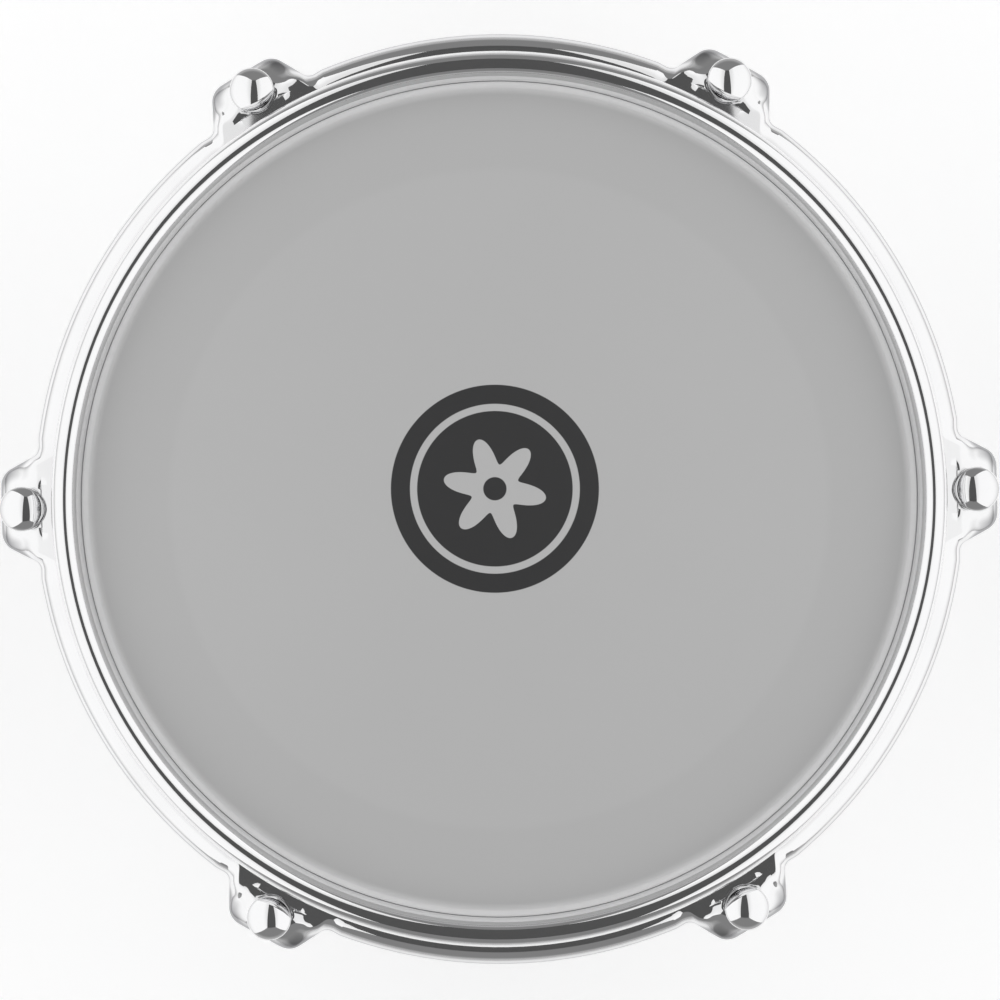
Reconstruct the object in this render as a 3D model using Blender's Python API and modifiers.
"""One ten inch timbale: an open steel shell with a plastic head, held down by a pressed steel
counterhoop on six tension bolts, and an eye bolt bracket for the rod of a stand.

Lengths are in metres. The drum stands on its lower rim, with the origin at the centre of that rim
and +Z up. Bolt 1 is on +X, and the rod bracket is between bolts 1 and 2.
"""

import math

import bmesh
import bpy
from mathutils import Matrix

# ------------------------------------------------------------------ driving dimensions
GAP = 0.0003  # left between pieces that touch
BOLT_COUNT = 6

SHELL_RADIUS = 0.1267
SHELL_HEIGHT = 0.165
SHELL_WALL = 0.0012
BEARING_EDGE_RADIUS = 0.0015
BEARING_FLANGE_WIDTH = 0.005
BASE_EDGE_RADIUS = 0.0025
BASE_FLANGE_WIDTH = 0.0057
BEAD_COUNT = 2  # pressed ridges, evenly spaced from the lower rim to the lugs
BEAD_HALF_WIDTH = 0.004
BEAD_DEPTH = 0.002

FILM_THICKNESS = 0.0003
COLLAR_SLOPE = math.radians(55)
COLLAR_BEND_RADIUS = 0.0015
FLESH_HOOP_HEIGHT = 0.008
FLESH_HOOP_DROP = 0.0065  # from the bearing edge down to the channel's top
FLESH_HOOP_CLEARANCE = 0.0009  # to the shell
CHANNEL_WALL = 0.001
CHANNEL_WIDTH = 0.0074
CHANNEL_LIP_STEP = 0.0012  # how much lower the channel's inner wall is
CHANNEL_FLOOR = 0.0015
FILM_TAIL_DEPTH = 0.005  # of the film's edge in the channel

HOOP_SHEET = 0.0023
HOOP_LIP_RADIUS = 0.00385
HOOP_RISE = 0.01145  # of the lip's top above the film
HOOP_BEND_RADIUS = 0.0038
HOOP_FLANGE_REACH = 0.0153  # of the flange's edge beyond the hoop's inner wall
HOOP_SKIRT_HEIGHT = 0.0035
LIP_CURL_END = math.radians(-40)

BOLT_STANDOFF = 0.0181  # of the bolts' axes beyond the hoop's inner wall
EAR_REACH = 0.0076  # of the ear beyond the bolt's axis
EAR_OUTER_HALF_WIDTH = 0.0126
EAR_ROOT_HALF_WIDTH = 0.0156
EAR_ROOT_INSET = 0.0014  # of the ear's root inside the bolt circle
EAR_FLARE_HALF_WIDTH = 0.022
EAR_CORNER_RADIUS = 0.0045
EAR_ROOT_RADIUS = 0.005
EAR_SKIRT_HEIGHT = 0.0048

BOLT_RADIUS = 0.004
BOLT_HEAD_RADIUS = 0.0069
BOLT_HEAD_SKIRT = 0.0030
BOLT_HEAD_DOME = 0.0034
BOLT_TAIL = 0.0083  # of the bolt below its nut
BOLT_POINT = 0.0008
NUT_ACROSS_FLATS = 0.013
NUT_HEIGHT = 0.0065
WASHER_RADIUS = 0.008
WASHER_THICKNESS = 0.0016

LUG_DROP = 0.027  # of the lugs' tops below the shell's
LUG_HEIGHT = 0.050
LUG_HALF_WIDTH = 0.012
LUG_FOOT_DEPTH = 0.0055
LUG_BOSS_RADIUS = 0.008
LUG_BOSS_HEIGHT = 0.015
LUG_BASE_DEPTH = 0.0105
GASKET_THICKNESS = 0.001

SCREW_RADIUS = 0.0025
SCREW_HEAD_RADIUS = 0.0045
SCREW_HEAD_HEIGHT = 0.0028
SCREW_BITE = 0.009  # into the lug or the bracket
SCREW_SLOT_WIDTH = 0.0012
SCREW_SLOT_DEPTH = 0.0011

BRACKET_ANGLE = math.radians(30)
BRACKET_DROP = 0.057  # of its middle below the shell's top
BRACKET_HALF_HEIGHT = 0.020
BRACKET_HALF_WIDTH = 0.014
BRACKET_DEPTH = 0.0205
BRACKET_EDGE_RADIUS = 0.0025
BRACKET_SCREW_OFFSET = 0.012  # above and below its middle
BACKING_THICKNESS = 0.0015

EYE_BORE_RADIUS = 0.0052  # clears a 9.5 mm stand rod, which isn't part of the drum
EYE_RADIUS = 0.0085
EYE_HALF_HEIGHT = 0.005
EYE_AXIS_DEPTH = 0.0120  # from the shell's surface
JAW_DEPTH = 0.002  # of the rod's groove in the bracket's side
EYE_SHANK_RADIUS = 0.003
EYE_SHANK_TAIL = 0.007  # of the shank beyond the wing nut
EYE_SLOT_CLEARANCE = 0.0008
WING_WASHER_RADIUS = 0.0062
WING_WASHER_THICKNESS = 0.0012
WING_HUB_RADIUS = 0.0052
WING_HUB_TIP_RADIUS = 0.0042
WING_HUB_LENGTH = 0.008
WING_SPAN = 0.0135  # from the shank's axis to a wing's tip
WING_LENGTH = 0.0095
WING_THICKNESS = 0.0024

# ------------------------------------------------------------------ what follows from them
RING_STEPS = 48
ROUND_STEPS = 14
ARC_STEPS = 2
PAD_STEPS = 3

FILM_UNDERSIDE = SHELL_HEIGHT + GAP
FILM_TOP = FILM_UNDERSIDE + FILM_THICKNESS
CHANNEL_TOP = SHELL_HEIGHT - FLESH_HOOP_DROP
CHANNEL_INNER = SHELL_RADIUS + FLESH_HOOP_CLEARANCE
TAIL_INNER = CHANNEL_INNER + CHANNEL_WALL + GAP
TAIL_OUTER = TAIL_INNER + FILM_THICKNESS
HOOP_INNER = TAIL_OUTER + GAP
HOOP_FLANGE_RADIUS = HOOP_INNER + HOOP_FLANGE_REACH
BOLT_CIRCLE_RADIUS = HOOP_INNER + BOLT_STANDOFF
BOLT_NECK_WIDTH = 2 * BOLT_RADIUS  # a square neck as wide as the shank
FLANGE_UNDERSIDE = CHANNEL_TOP + GAP
FLANGE_TOP = FLANGE_UNDERSIDE + HOOP_SHEET
HEAD_SEAT = FLANGE_TOP + GAP
LUG_TOP = SHELL_HEIGHT - LUG_DROP
LUG_BOTTOM = LUG_TOP - LUG_HEIGHT
BEAD_HEIGHTS = [LUG_BOTTOM * (1 - k / (BEAD_COUNT + 1)) for k in range(1, BEAD_COUNT + 1)]
BRACKET_HEIGHT = SHELL_HEIGHT - BRACKET_DROP
WASHER_TOP = LUG_BOTTOM - GAP
NUT_TOP = WASHER_TOP - WASHER_THICKNESS - GAP
NUT_BOTTOM = NUT_TOP - NUT_HEIGHT
BOLT_END = NUT_BOTTOM - BOLT_TAIL
GASKET_INNER = SHELL_RADIUS + GAP
PAD_FACE = GASKET_INNER + GASKET_THICKNESS + GAP  # radius where lugs and the bracket start
SHELL_INNER = (SHELL_RADIUS - SHELL_WALL) * math.cos(math.pi / RING_STEPS)  # at its facets' middles


# ------------------------------------------------------------------ making things
def clear_scene():
    for obj in list(bpy.data.objects):
        bpy.data.objects.remove(obj)


def collection(name):
    made = bpy.data.collections.new(name)
    bpy.context.scene.collection.children.link(made)
    return made


def finish(name, colour, metallic, roughness):
    made = bpy.data.materials.new(name)
    made.use_nodes = True
    shader = made.node_tree.nodes["Principled BSDF"]
    shader.inputs["Base Color"].default_value = (*colour, 1)
    shader.inputs["Metallic"].default_value = metallic
    shader.inputs["Roughness"].default_value = roughness
    return made


def placed(name, mesh, material, parent=None):
    """An object of the drum, in its parent's frame."""
    obj = bpy.data.objects.new(name, mesh)
    DRUM.objects.link(obj)
    obj.parent = parent
    if not mesh.materials:
        mesh.materials.append(material)
    return obj


def empty(name, location, turn, parent=None):
    made = bpy.data.objects.new(name, None)
    DRUM.objects.link(made)
    made.location = location
    made.rotation_euler.z = turn
    made.parent = parent
    return made


def evaluated_mesh(obj):
    bpy.context.view_layer.update()
    graph = bpy.context.evaluated_depsgraph_get()
    mesh = bpy.data.meshes.new_from_object(obj.evaluated_get(graph))
    mesh.transform(obj.matrix_world)
    bpy.data.objects.remove(obj)
    return mesh


def profile_mesh(name, points, closed):
    mesh = bpy.data.meshes.new(name)
    edges = [(i, i + 1) for i in range(len(points) - 1)]
    if closed:
        edges.append((len(points) - 1, 0))
    mesh.from_pydata([(r, 0, z) for r, z in points], edges, [])
    return mesh


def add_screw(obj, steps):
    screw = obj.modifiers.new("turn", "SCREW")
    screw.steps = screw.render_steps = steps
    screw.use_merge_vertices = True
    screw.merge_threshold = 0.00001


def turned(name, profile, steps, closed=True):
    """A solid turned about Z. The profile runs down its outer side; an open one ends on the axis."""
    obj = bpy.data.objects.new(name, profile_mesh(name, profile, closed))
    DRUM.objects.link(obj)
    add_screw(obj, steps)
    mesh = evaluated_mesh(obj)
    mesh.shade_smooth()
    mesh.set_sharp_from_angle(angle=math.radians(35))
    return mesh


def extruded(name, outline, low, high):
    """A flat outline in XY, made solid from low to high."""
    curve = bpy.data.curves.new(name, "CURVE")
    curve.dimensions = "2D"
    curve.fill_mode = "BOTH"
    curve.extrude = (high - low) / 2
    spline = curve.splines.new("POLY")
    spline.points.add(len(outline) - 1)
    for point, (x, y) in zip(spline.points, outline):
        point.co = (x, y, 0, 1)
    spline.use_cyclic_u = True
    obj = bpy.data.objects.new(name, curve)
    DRUM.objects.link(obj)
    obj.location.z = (low + high) / 2
    mesh = evaluated_mesh(obj)
    edit = bmesh.new()
    edit.from_mesh(mesh)
    bmesh.ops.remove_doubles(edit, verts=edit.verts, dist=0.000001)
    bmesh.ops.recalc_face_normals(edit, faces=edit.faces)
    edit.to_mesh(mesh)
    edit.free()
    return mesh


def arc(centre, radius, start, end, steps=ARC_STEPS):
    return [
        (centre[0] + radius * math.cos(a), centre[1] + radius * math.sin(a))
        for a in (start + (end - start) * k / steps for k in range(steps + 1))
    ]


def rounded(corners):
    """The outline through (x, y, radius) corners, each with its own fillet."""
    outline = []
    for k, (x, y, radius) in enumerate(corners):
        if radius == 0:
            outline.append((x, y))
            continue
        before, after = corners[k - 1], corners[(k + 1) % len(corners)]
        a = math.atan2(before[1] - y, before[0] - x)
        b = math.atan2(after[1] - y, after[0] - x)
        half = ((b - a + math.pi) % (2 * math.pi) - math.pi) / 2
        away = radius / math.sin(abs(half))
        centre = (x + away * math.cos(a + half), y + away * math.sin(a + half))
        sweep = math.copysign(math.pi - 2 * abs(half), -half)
        start = a - math.copysign(math.pi / 2, half)
        outline += arc(centre, radius, start, start + sweep)
    return outline


def cylinder_mesh(radius, low, high, steps=ROUND_STEPS, tip_radius=None):
    """A cylinder or cone on Z."""
    edit = bmesh.new()
    bmesh.ops.create_cone(
        edit,
        cap_ends=True,
        segments=steps,
        radius1=radius,
        radius2=radius if tip_radius is None else tip_radius,
        depth=high - low,
        matrix=Matrix.Translation((0, 0, (low + high) / 2)),
    )
    mesh = bpy.data.meshes.new("cylinder")
    edit.to_mesh(mesh)
    edit.free()
    return mesh


def box_mesh(low, high):
    edit = bmesh.new()
    bmesh.ops.create_cube(edit, size=1)
    size = [b - a for a, b in zip(low, high)]
    middle = [(a + b) / 2 for a, b in zip(low, high)]
    bmesh.ops.scale(edit, vec=size, verts=edit.verts)
    bmesh.ops.translate(edit, vec=middle, verts=edit.verts)
    mesh = bpy.data.meshes.new("box")
    edit.to_mesh(mesh)
    edit.free()
    return mesh


def moved(mesh, matrix):
    made = mesh.copy()
    made.transform(matrix)
    return made


def together(meshes):
    """Several meshes as the separate bodies of one cutter."""
    edit = bmesh.new()
    for mesh in meshes:
        edit.from_mesh(mesh)
    made = bpy.data.meshes.new("cutter")
    edit.to_mesh(made)
    edit.free()
    return made


def combined(mesh, steps):
    """The mesh after Boolean steps of (operation, other mesh)."""
    obj = bpy.data.objects.new("combined", mesh)
    DRUM.objects.link(obj)
    cutters = []
    for operation, other in steps:
        cutter = bpy.data.objects.new("cutter", other)
        CUTTERS.objects.link(cutter)
        cutter.hide_render = True
        cutter.display_type = "WIRE"
        boolean = obj.modifiers.new(operation.lower(), "BOOLEAN")
        boolean.operation = operation
        boolean.solver = "EXACT"
        boolean.object = cutter
        cutters.append(cutter)
    made = evaluated_mesh(obj)
    for cutter in cutters:
        bpy.data.objects.remove(cutter)
    return made


def turn(angle):
    return Matrix.Rotation(angle, 4, "Z")


def lying(axis):
    """Turns a shape on Z to lie along X or Y."""
    return Matrix.Rotation(math.pi / 2, 4, "Y") if axis == "X" else Matrix.Rotation(-math.pi / 2, 4, "X")


def bolt_angles():
    return [2 * math.pi * k / BOLT_COUNT for k in range(BOLT_COUNT)]


# ------------------------------------------------------------------ shell
def bead(height):
    """Points of a pressed ridge round the shell, top to bottom."""
    steps = 4
    return [
        (
            SHELL_RADIUS + BEAD_DEPTH * math.cos(math.pi * (k / steps - 0.5)) ** 2,
            height + BEAD_HALF_WIDTH * (1 - 2 * k / steps),
        )
        for k in range(steps + 1)
    ]


def shell_mesh():
    edge = SHELL_RADIUS - BEARING_EDGE_RADIUS
    top = arc((edge, SHELL_HEIGHT - BEARING_EDGE_RADIUS), BEARING_EDGE_RADIUS, math.pi / 2, 0)
    foot = SHELL_RADIUS - BASE_EDGE_RADIUS
    bottom = arc((foot, BASE_EDGE_RADIUS), BASE_EDGE_RADIUS, 0, -math.pi / 2)
    path = [(edge - BEARING_FLANGE_WIDTH, SHELL_HEIGHT)] + top
    for height in BEAD_HEIGHTS:
        path += bead(height)
    path += bottom + [(foot - BASE_FLANGE_WIDTH, 0)]
    obj = bpy.data.objects.new("shell_sheet", profile_mesh("shell_sheet", path, closed=False))
    DRUM.objects.link(obj)
    add_screw(obj, RING_STEPS)
    wall = obj.modifiers.new("wall", "SOLIDIFY")
    wall.thickness = SHELL_WALL
    wall.offset = -1
    wall.use_even_offset = True
    sheet = evaluated_mesh(obj)
    hole = moved(
        cylinder_mesh(SCREW_RADIUS + GAP, SHELL_INNER - HOLE_OVERRUN, SHELL_RADIUS + HOLE_OVERRUN), lying("X")
    )
    holes = [
        moved(hole, turn(angle) @ Matrix.Translation((0, 0, height)))
        for angle, heights in [(a, LUG_SCREW_HEIGHTS) for a in bolt_angles()]
        + [(BRACKET_ANGLE, BRACKET_SCREW_HEIGHTS)]
        for height in heights
    ]
    return combined(sheet, [("DIFFERENCE", together(holes))])


# ------------------------------------------------------------------ head: film and flesh hoop
def film_side(offset):
    """The film from its rim in to its tail, offset outwards from its underside."""
    bend_radius = BEARING_EDGE_RADIUS + GAP + offset
    centre = (SHELL_RADIUS - BEARING_EDGE_RADIUS, SHELL_HEIGHT - BEARING_EDGE_RADIUS)
    over = arc(centre, bend_radius, math.pi / 2, math.pi / 2 - COLLAR_SLOPE)
    tail = TAIL_INNER + offset
    drop = (tail - over[-1][0]) * math.tan(COLLAR_SLOPE)
    corner = (tail, over[-1][1] - drop)
    pull = COLLAR_BEND_RADIUS * math.tan((math.pi / 2 - COLLAR_SLOPE) / 2)
    eased = arc(
        (tail - COLLAR_BEND_RADIUS, corner[1] - pull),
        COLLAR_BEND_RADIUS,
        math.pi / 2 - COLLAR_SLOPE,
        0,
        2,
    )
    return over + eased + [(tail, CHANNEL_TOP - FILM_TAIL_DEPTH)]


def film_mesh():
    outer = [(0, FILM_TOP)] + film_side(FILM_THICKNESS)
    inner = [(0, FILM_UNDERSIDE)] + film_side(0)
    return turned("film", outer + inner[::-1], RING_STEPS, closed=False)


def flesh_hoop_mesh():
    outer = CHANNEL_INNER + CHANNEL_WIDTH
    bottom = CHANNEL_TOP - FLESH_HOOP_HEIGHT
    lip = CHANNEL_TOP - CHANNEL_LIP_STEP
    floor = bottom + CHANNEL_FLOOR
    profile = [
        (outer, CHANNEL_TOP),
        (outer, bottom),
        (CHANNEL_INNER, bottom),
        (CHANNEL_INNER, lip),
        (CHANNEL_INNER + CHANNEL_WALL, lip),
        (CHANNEL_INNER + CHANNEL_WALL, floor),
        (outer - CHANNEL_WALL, floor),
        (outer - CHANNEL_WALL, CHANNEL_TOP),
    ]
    return turned("flesh_hoop", profile, RING_STEPS)


# ------------------------------------------------------------------ counterhoop
def counterhoop_mesh():
    inner_bend = HOOP_BEND_RADIUS - HOOP_SHEET
    skirt = HOOP_FLANGE_RADIUS - HOOP_SHEET
    path = [(skirt, FLANGE_UNDERSIDE - HOOP_SKIRT_HEIGHT)]
    path += arc((skirt - inner_bend, FLANGE_UNDERSIDE - inner_bend), inner_bend, 0, math.pi / 2, 2)
    path += arc(
        (HOOP_INNER + HOOP_BEND_RADIUS, FLANGE_UNDERSIDE + HOOP_BEND_RADIUS),
        HOOP_BEND_RADIUS,
        -math.pi / 2,
        -math.pi,
    )
    lip_centre = (HOOP_INNER + HOOP_LIP_RADIUS, FILM_TOP + HOOP_RISE - HOOP_LIP_RADIUS)
    path += arc(lip_centre, HOOP_LIP_RADIUS, math.pi, LIP_CURL_END, 7)
    obj = bpy.data.objects.new("hoop_sheet", profile_mesh("hoop_sheet", path, closed=False))
    DRUM.objects.link(obj)
    add_screw(obj, RING_STEPS)
    wall = obj.modifiers.new("wall", "SOLIDIFY")
    wall.thickness = HOOP_SHEET
    wall.offset = -1
    wall.use_even_offset = True
    ring = evaluated_mesh(obj)

    ears, pockets, holes = [], [], []
    hole = BOLT_NECK_WIDTH / 2 + GAP
    for angle in bolt_angles():
        station = turn(angle) @ Matrix.Translation((BOLT_CIRCLE_RADIUS, 0, 0))
        ears.append(moved(ear_block(0, FLANGE_UNDERSIDE - EAR_SKIRT_HEIGHT, FLANGE_TOP - COPLANAR_STEP), station))
        low = FLANGE_UNDERSIDE - EAR_SKIRT_HEIGHT - HOLE_OVERRUN
        pockets.append(moved(ear_block(HOOP_SHEET, low, FLANGE_UNDERSIDE - COPLANAR_STEP), station))
        square = box_mesh((-hole, -hole, low), (hole, hole, FLANGE_TOP + HOLE_OVERRUN))
        holes.append(moved(square, station))
    return combined(
        ring,
        [("UNION", together(ears)), ("DIFFERENCE", together(pockets)), ("DIFFERENCE", together(holes))],
    )


def ear_block(inset, low, high):
    """An ear's plan from low to high, taken in by inset at its sides and outer end."""
    reach = EAR_REACH - inset
    flare = math.sqrt(HOOP_FLANGE_RADIUS**2 - EAR_FLARE_HALF_WIDTH**2) - BOLT_CIRCLE_RADIUS - FLARE_TUCK
    inner = flare - HOOP_SHEET
    if inset:
        inner -= HOLE_OVERRUN
        half = [
            (reach, EAR_OUTER_HALF_WIDTH - inset, EAR_CORNER_RADIUS - inset),
            (inner, EAR_ROOT_HALF_WIDTH - inset, 0),
        ]
    else:
        half = [
            (reach, EAR_OUTER_HALF_WIDTH, EAR_CORNER_RADIUS),
            (-EAR_ROOT_INSET, EAR_ROOT_HALF_WIDTH, EAR_ROOT_RADIUS),
            (flare, EAR_FLARE_HALF_WIDTH, 0),
            (inner, EAR_FLARE_HALF_WIDTH, 0),
        ]
    corners = half + [(x, -y, r) for x, y, r in half[::-1]]
    return extruded("ear", rounded(corners), low, high)


# ------------------------------------------------------------------ bolts, nuts, washers, lugs
def bolt_mesh():
    sphere = (BOLT_HEAD_RADIUS**2 + BOLT_HEAD_DOME**2) / (2 * BOLT_HEAD_DOME)
    dome_foot = HEAD_SEAT + BOLT_HEAD_SKIRT
    rim = math.asin(BOLT_HEAD_RADIUS / sphere)
    centre = (0, dome_foot + BOLT_HEAD_DOME - sphere)
    dome = arc(centre, sphere, math.pi / 2, math.pi / 2 - rim, 4)
    profile = [(0, dome[0][1])] + dome[1:] + [
        (BOLT_HEAD_RADIUS, HEAD_SEAT),
        (BOLT_RADIUS, HEAD_SEAT),
        (BOLT_RADIUS, BOLT_END + BOLT_POINT),
        (BOLT_RADIUS - BOLT_POINT, BOLT_END),
        (0, BOLT_END),
    ]
    body = turned("bolt", profile, ROUND_STEPS, closed=False)
    half = BOLT_NECK_WIDTH / 2
    neck = box_mesh((-half, -half, FLANGE_UNDERSIDE), (half, half, HEAD_SEAT + NECK_OVERLAP))
    return combined(body, [("UNION", neck)])


def nut_mesh():
    corner = NUT_ACROSS_FLATS / 2 / math.cos(math.pi / 6)
    body = cylinder_mesh(corner, NUT_BOTTOM, NUT_TOP, 6)
    bore = cylinder_mesh(BOLT_RADIUS + GAP, NUT_BOTTOM - HOLE_OVERRUN, NUT_TOP + HOLE_OVERRUN)
    return combined(body, [("DIFFERENCE", bore)])


def washer_mesh(inner, outer, low, high):
    return turned("washer", [(outer, high), (outer, low), (inner, low), (inner, high)], ROUND_STEPS)


def sector(half_width, inner, outer, centre_x):
    """The plan of a curved pad between two radii, about the drum's axis at centre_x."""
    reach = math.asin(half_width / inner)
    axis = (centre_x, 0)
    return arc(axis, outer, -reach, reach, PAD_STEPS) + arc(axis, inner, reach, -reach, PAD_STEPS)


def lug_mesh():
    reach = math.asin(LUG_HALF_WIDTH / PAD_FACE)
    back = arc((-BOLT_CIRCLE_RADIUS, 0), PAD_FACE, reach, -reach, PAD_STEPS)
    foot = PAD_FACE + LUG_FOOT_DEPTH - BOLT_CIRCLE_RADIUS
    boss = arc((0, 0), LUG_BOSS_RADIUS, math.radians(-105), math.radians(105), 7)
    outline = back + [(foot, -LUG_HALF_WIDTH)] + boss + [(foot, LUG_HALF_WIDTH)]
    body = extruded("lug", outline, LUG_BOTTOM, LUG_TOP)
    base = PAD_FACE + LUG_BASE_DEPTH - BOLT_CIRCLE_RADIUS
    window = box_mesh(
        (base, -LUG_HALF_WIDTH - HOLE_OVERRUN, LUG_BOTTOM + LUG_BOSS_HEIGHT),
        (LUG_BOSS_RADIUS + HOLE_OVERRUN, LUG_HALF_WIDTH + HOLE_OVERRUN, LUG_TOP - LUG_BOSS_HEIGHT),
    )
    bore = cylinder_mesh(BOLT_RADIUS + GAP, LUG_BOTTOM - HOLE_OVERRUN, LUG_TOP + HOLE_OVERRUN)
    tapped = [
        moved(
            cylinder_mesh(SCREW_RADIUS + GAP, PAD_FACE - HOLE_OVERRUN, PAD_FACE + SCREW_BITE + GAP),
            Matrix.Translation((-BOLT_CIRCLE_RADIUS, 0, height)) @ lying("X"),
        )
        for height in LUG_SCREW_HEIGHTS
    ]
    return combined(
        body,
        [("DIFFERENCE", window), ("DIFFERENCE", bore), ("DIFFERENCE", together(tapped))],
    )


def gasket_mesh(half_width, low, high, heights, centre_x):
    plan = sector(half_width, GASKET_INNER, GASKET_INNER + GASKET_THICKNESS, centre_x)
    hole = cylinder_mesh(SCREW_RADIUS + GAP, SHELL_RADIUS - HOLE_OVERRUN, PAD_FACE + HOLE_OVERRUN)
    holes = [
        moved(hole, Matrix.Translation((centre_x, 0, height)) @ lying("X")) for height in heights
    ]
    return combined(extruded("gasket", plan, low, high), [("DIFFERENCE", together(holes))])


def screw_mesh(seat, tip):
    """A slotted pan head screw on X, with its head towards the drum's axis."""
    head = seat - SCREW_HEAD_HEIGHT
    shoulder = SCREW_HEAD_HEIGHT / 2
    profile = [
        (0, tip),
        (SCREW_RADIUS, tip),
        (SCREW_RADIUS, seat),
        (SCREW_HEAD_RADIUS, seat),
        (SCREW_HEAD_RADIUS, seat - shoulder),
        (SCREW_HEAD_RADIUS - shoulder, head),
        (0, head),
    ]
    body = turned("screw", profile, 10, closed=False)
    half = SCREW_SLOT_WIDTH / 2
    slot = box_mesh(
        (-SCREW_HEAD_RADIUS - HOLE_OVERRUN, -half, head - HOLE_OVERRUN),
        (SCREW_HEAD_RADIUS + HOLE_OVERRUN, half, head + SCREW_SLOT_DEPTH),
    )
    return moved(combined(body, [("DIFFERENCE", slot)]), lying("X"))


# ------------------------------------------------------------------ rod bracket
# The bracket's frame has X outwards from the drum's axis, Y along the eye bolt and Z up.
def bracket_mesh():
    reach = math.asin(BRACKET_HALF_WIDTH / PAD_FACE)
    face = SHELL_RADIUS + BRACKET_DEPTH
    outline = arc((0, 0), PAD_FACE, reach, -reach, PAD_STEPS) + rounded(
        [
            (face, -BRACKET_HALF_WIDTH, BRACKET_EDGE_RADIUS),
            (face, BRACKET_HALF_WIDTH, BRACKET_EDGE_RADIUS),
        ]
        + [(PAD_FACE, BRACKET_HALF_WIDTH, 0), (PAD_FACE, -BRACKET_HALF_WIDTH, 0)]
    )[: 2 * (ARC_STEPS + 1)]
    low, high = BRACKET_HEIGHT - BRACKET_HALF_HEIGHT, BRACKET_HEIGHT + BRACKET_HALF_HEIGHT
    body = extruded("bracket", outline, low, high)
    groove = moved(
        cylinder_mesh(EYE_BORE_RADIUS, low - HOLE_OVERRUN, high + HOLE_OVERRUN),
        Matrix.Translation((EYE_X, EYE_Y, 0)),
    )
    side = EYE_RADIUS + EYE_SLOT_CLEARANCE
    top = EYE_HALF_HEIGHT + EYE_SLOT_CLEARANCE
    slot = box_mesh(
        (EYE_X - side, -BRACKET_HALF_WIDTH - HOLE_OVERRUN, BRACKET_HEIGHT - top),
        (EYE_X + side, EYE_Y + side, BRACKET_HEIGHT + top),
    )
    bore = moved(
        cylinder_mesh(EYE_SHANK_RADIUS + GAP, EYE_Y, BRACKET_HALF_WIDTH + HOLE_OVERRUN),
        Matrix.Translation((EYE_X, 0, BRACKET_HEIGHT)) @ lying("Y"),
    )
    tapped = [
        moved(
            cylinder_mesh(SCREW_RADIUS + GAP, PAD_FACE - HOLE_OVERRUN, PAD_FACE + BRACKET_SCREW_BITE + GAP),
            Matrix.Translation((0, 0, height)) @ lying("X"),
        )
        for height in BRACKET_SCREW_HEIGHTS
    ]
    cuts = [groove, slot, bore, together(tapped)]
    return combined(body, [("DIFFERENCE", cut) for cut in cuts])


def eye_bolt_mesh():
    low, high = BRACKET_HEIGHT - EYE_HALF_HEIGHT, BRACKET_HEIGHT + EYE_HALF_HEIGHT
    at = Matrix.Translation((EYE_X, EYE_Y, 0))
    ring = moved(cylinder_mesh(EYE_RADIUS, low, high, 24), at)
    bore = moved(cylinder_mesh(EYE_BORE_RADIUS, low - HOLE_OVERRUN, high + HOLE_OVERRUN, 24), at)
    start = EYE_Y + (EYE_BORE_RADIUS + EYE_RADIUS) / 2
    shank = moved(
        cylinder_mesh(EYE_SHANK_RADIUS, start, EYE_SHANK_END),
        Matrix.Translation((EYE_X, 0, BRACKET_HEIGHT)) @ lying("Y"),
    )
    return combined(ring, [("DIFFERENCE", bore), ("UNION", shank)])


def wing_nut_mesh():
    """A wing nut on Z, with its foot at z = 0. Its wings rise along X."""
    hub = cylinder_mesh(WING_HUB_RADIUS, 0, WING_HUB_LENGTH, tip_radius=WING_HUB_TIP_RADIUS)
    half = WING_THICKNESS / 2
    tip = WING_HUB_LENGTH + WING_LENGTH / 2
    root = WING_HUB_TIP_RADIUS * 0.8
    plan = rounded(
        [
            (root, WING_HUB_LENGTH * 0.2, 0),
            (WING_SPAN * 0.7, WING_HUB_LENGTH * 0.4, 0.002),
            (WING_SPAN, tip - 0.002, 0.003),
            (WING_SPAN * 0.72, tip, 0.002),
            (root, WING_HUB_LENGTH * 0.85, 0),
        ]
    )
    wing = moved(extruded("wing", plan, -half, half), Matrix.Rotation(math.pi / 2, 4, "X"))
    bore = cylinder_mesh(EYE_SHANK_RADIUS + GAP, -HOLE_OVERRUN, WING_HUB_LENGTH + HOLE_OVERRUN)
    wings = together([wing, moved(wing, Matrix.Rotation(math.pi, 4, "Z"))])
    return combined(hub, [("UNION", wings), ("DIFFERENCE", bore)])


# ------------------------------------------------------------------ places that pieces share
HOLE_OVERRUN = 0.002  # of a cutter beyond the wall it cuts
COPLANAR_STEP = 0.00005  # keeps joined faces from lying in one plane
NECK_OVERLAP = 0.0003
FLARE_TUCK = 0.0006  # of the ear's flare under the flange's edge
LUG_SCREW_HEIGHTS = (LUG_BOTTOM + LUG_BOSS_HEIGHT / 2, LUG_TOP - LUG_BOSS_HEIGHT / 2)
BRACKET_SCREW_HEIGHTS = (BRACKET_HEIGHT - BRACKET_SCREW_OFFSET, BRACKET_HEIGHT + BRACKET_SCREW_OFFSET)
BRACKET_SCREW_BITE = SCREW_BITE
EYE_X = SHELL_RADIUS + EYE_AXIS_DEPTH
EYE_Y = -(BRACKET_HALF_WIDTH + EYE_BORE_RADIUS - JAW_DEPTH)
WING_WASHER_FOOT = BRACKET_HALF_WIDTH + GAP
WING_FOOT = WING_WASHER_FOOT + WING_WASHER_THICKNESS + GAP
EYE_SHANK_END = WING_FOOT + WING_HUB_LENGTH + EYE_SHANK_TAIL

clear_scene()
DRUM = collection("timbale")
CUTTERS = collection("cutters")

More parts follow.
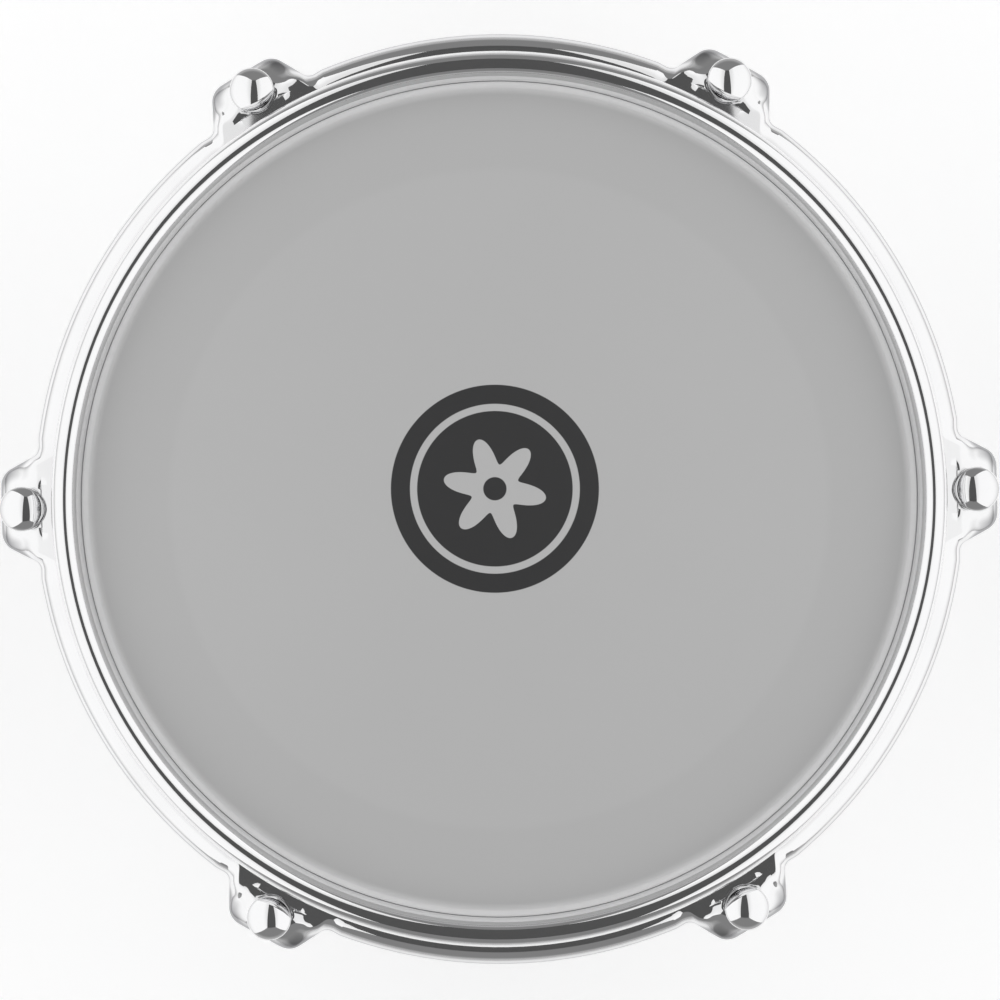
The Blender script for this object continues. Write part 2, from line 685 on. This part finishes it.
CHROME = finish("chrome", (0.80, 0.80, 0.81), 1.0, 0.06)
STEEL = finish("zinc_steel", (0.62, 0.62, 0.63), 1.0, 0.3)
ALUMINIUM = finish("aluminium", (0.78, 0.78, 0.79), 1.0, 0.35)
FILM = finish("head_plastic", (0.42, 0.42, 0.42), 0.0, 0.4)
RUBBER = finish("black_rubber", (0.03, 0.03, 0.03), 0.0, 0.7)

placed("shell", shell_mesh(), CHROME)
placed("head_film", film_mesh(), FILM)
placed("flesh_hoop", flesh_hoop_mesh(), ALUMINIUM)
placed("counterhoop", counterhoop_mesh(), CHROME)

bolt = bolt_mesh()
nut = nut_mesh()
nut_washer = washer_mesh(BOLT_RADIUS + GAP, WASHER_RADIUS, WASHER_TOP - WASHER_THICKNESS, WASHER_TOP)
lug = lug_mesh()
lug_gasket = gasket_mesh(LUG_HALF_WIDTH, LUG_BOTTOM, LUG_TOP, LUG_SCREW_HEIGHTS, -BOLT_CIRCLE_RADIUS)
lug_screw = screw_mesh(SHELL_INNER - GAP, PAD_FACE + SCREW_BITE)
for number, angle in enumerate(bolt_angles(), 1):
    where = (BOLT_CIRCLE_RADIUS * math.cos(angle), BOLT_CIRCLE_RADIUS * math.sin(angle), 0)
    station = empty(f"station_{number}", where, angle)
    placed(f"tension_bolt_{number}", bolt, CHROME, station)
    placed(f"tuning_nut_{number}", nut, CHROME, station)
    placed(f"nut_washer_{number}", nut_washer, STEEL, station)
    placed(f"lug_{number}", lug, CHROME, station)
    placed(f"lug_gasket_{number}", lug_gasket, RUBBER, station)
    for place, height in zip(("lower", "upper"), LUG_SCREW_HEIGHTS):
        screw = placed(f"lug_screw_{number}_{place}", lug_screw, STEEL, station)
        screw.location = (-BOLT_CIRCLE_RADIUS, 0, height)

mount = empty("mount", (0, 0, 0), BRACKET_ANGLE)
mount_low = BRACKET_HEIGHT - BRACKET_HALF_HEIGHT
mount_high = BRACKET_HEIGHT + BRACKET_HALF_HEIGHT
placed("rod_bracket", bracket_mesh(), CHROME, mount)
placed(
    "bracket_gasket",
    gasket_mesh(BRACKET_HALF_WIDTH, mount_low, mount_high, BRACKET_SCREW_HEIGHTS, 0),
    RUBBER,
    mount,
)
backing_plan = sector(
    BRACKET_HALF_WIDTH, SHELL_INNER - GAP - BACKING_THICKNESS, SHELL_INNER - GAP, 0
)
backing_holes = together(
    [
        moved(
            cylinder_mesh(SCREW_RADIUS + GAP, SHELL_INNER - BACKING_THICKNESS - HOLE_OVERRUN, SHELL_RADIUS),
            Matrix.Translation((0, 0, height)) @ lying("X"),
        )
        for height in BRACKET_SCREW_HEIGHTS
    ]
)
backing = extruded("backing", backing_plan, mount_low, mount_high)
placed("backing_plate", combined(backing, [("DIFFERENCE", backing_holes)]), STEEL, mount)
bracket_screw = screw_mesh(SHELL_INNER - 2 * GAP - BACKING_THICKNESS, PAD_FACE + BRACKET_SCREW_BITE)
for place, height in zip(("lower", "upper"), BRACKET_SCREW_HEIGHTS):
    screw = placed(f"bracket_screw_{place}", bracket_screw, STEEL, mount)
    screw.location = (0, 0, height)
placed("eye_bolt", eye_bolt_mesh(), CHROME, mount)

clamp = empty("clamp", (EYE_X, 0, BRACKET_HEIGHT), 0, mount)
washer_ring = washer_mesh(EYE_SHANK_RADIUS + GAP, WING_WASHER_RADIUS, 0, WING_WASHER_THICKNESS)
washer = placed("wing_washer", moved(washer_ring, lying("Y")), STEEL, clamp)
washer.location.y = WING_WASHER_FOOT
wings_up = lying("Y") @ turn(math.pi / 2)
wing_nut = placed("wing_nut", moved(wing_nut_mesh(), wings_up), CHROME, clamp)
wing_nut.location.y = WING_FOOT
